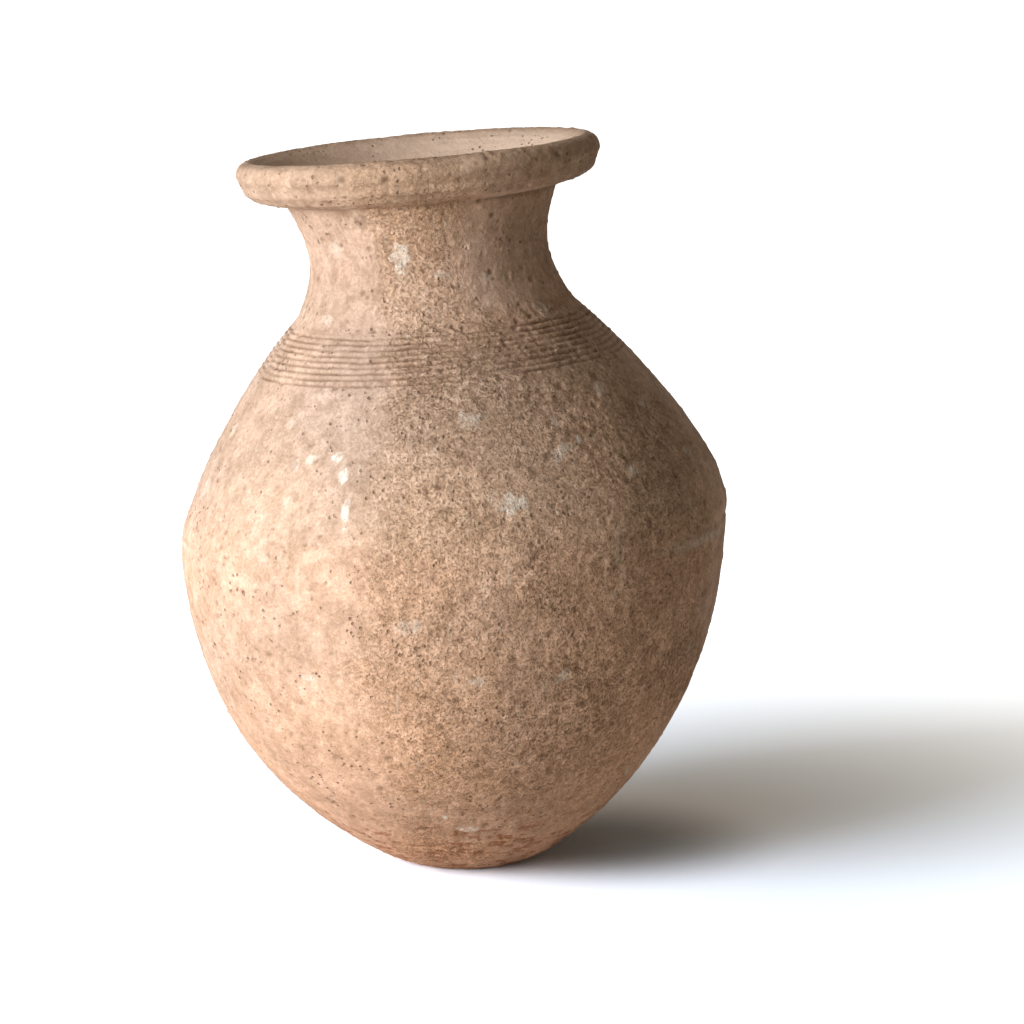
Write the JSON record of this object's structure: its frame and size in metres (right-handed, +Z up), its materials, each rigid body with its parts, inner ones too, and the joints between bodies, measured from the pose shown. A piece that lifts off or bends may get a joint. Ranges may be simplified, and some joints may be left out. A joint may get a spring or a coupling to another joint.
{
  "type": "terracotta storage jar",
  "caption": "Hand-built terracotta storage jar with a small flat foot, egg-shaped body, combed shoulder band, concave neck and heavy everted rim; stands free and holds dry goods or liquid.",
  "frame": {"origin": "middle of the flat face that the jar rests on", "axes": "+Z up, along the height; +Y away from the viewer of the pictured side; +X to that viewer's right, so the jar leans towards -X"},
  "size_m": [0.2236, 0.2236, 0.3016],
  "materials": {
    "clay_lower": "unglazed fired clay, matt, gritty, orange-buff",
    "clay_upper": "unglazed fired clay, matt, gritty, pale beige with lime and soil stains",
    "clay_rim": "unglazed fired clay, matt, worn, with grey weathering"
  },
  "bodies": {
    "root": {"base_pad": "clay_lower", "lower_body": "clay_lower", "shoulder": "clay_upper", "neck": "clay_upper", "rim": "clay_rim"}
  },
  "joints": []
}
